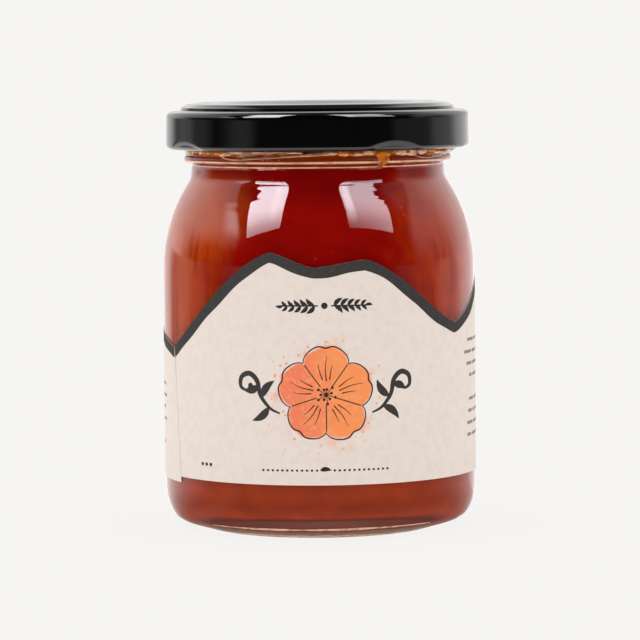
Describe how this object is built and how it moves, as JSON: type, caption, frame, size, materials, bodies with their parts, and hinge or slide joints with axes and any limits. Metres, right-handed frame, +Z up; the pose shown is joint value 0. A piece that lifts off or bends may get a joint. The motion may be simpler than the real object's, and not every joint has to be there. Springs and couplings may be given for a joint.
{
  "type": "jam jar",
  "caption": "Squat clear glass jar of dark red jam with a black twist-off metal lid and a pale wrap-round paper label with a hill-shaped, dark-edged top.",
  "frame": {"origin": "on the jar's axis, in the plane of the bearing ring that it stands on", "axes": "+Z up along the jar's axis; the label's front faces -Y, and +X is to its right"},
  "size_m": [0.0626, 0.0626, 0.0844],
  "materials": {
    "glass": "clear flint container glass, moulded smooth",
    "jam": "dark red-amber set jam, glossy, slightly cloudy with fruit",
    "lid_enamel": "gloss",
    "label_paper": "uncoated off-white paper with faint mottling and flat printed colour"
  },
  "bodies": {
    "root": {"jar_glass": "glass", "jam": "jam", "lid": "lid_enamel", "label": "label_paper"}
  },
  "joints": []
}
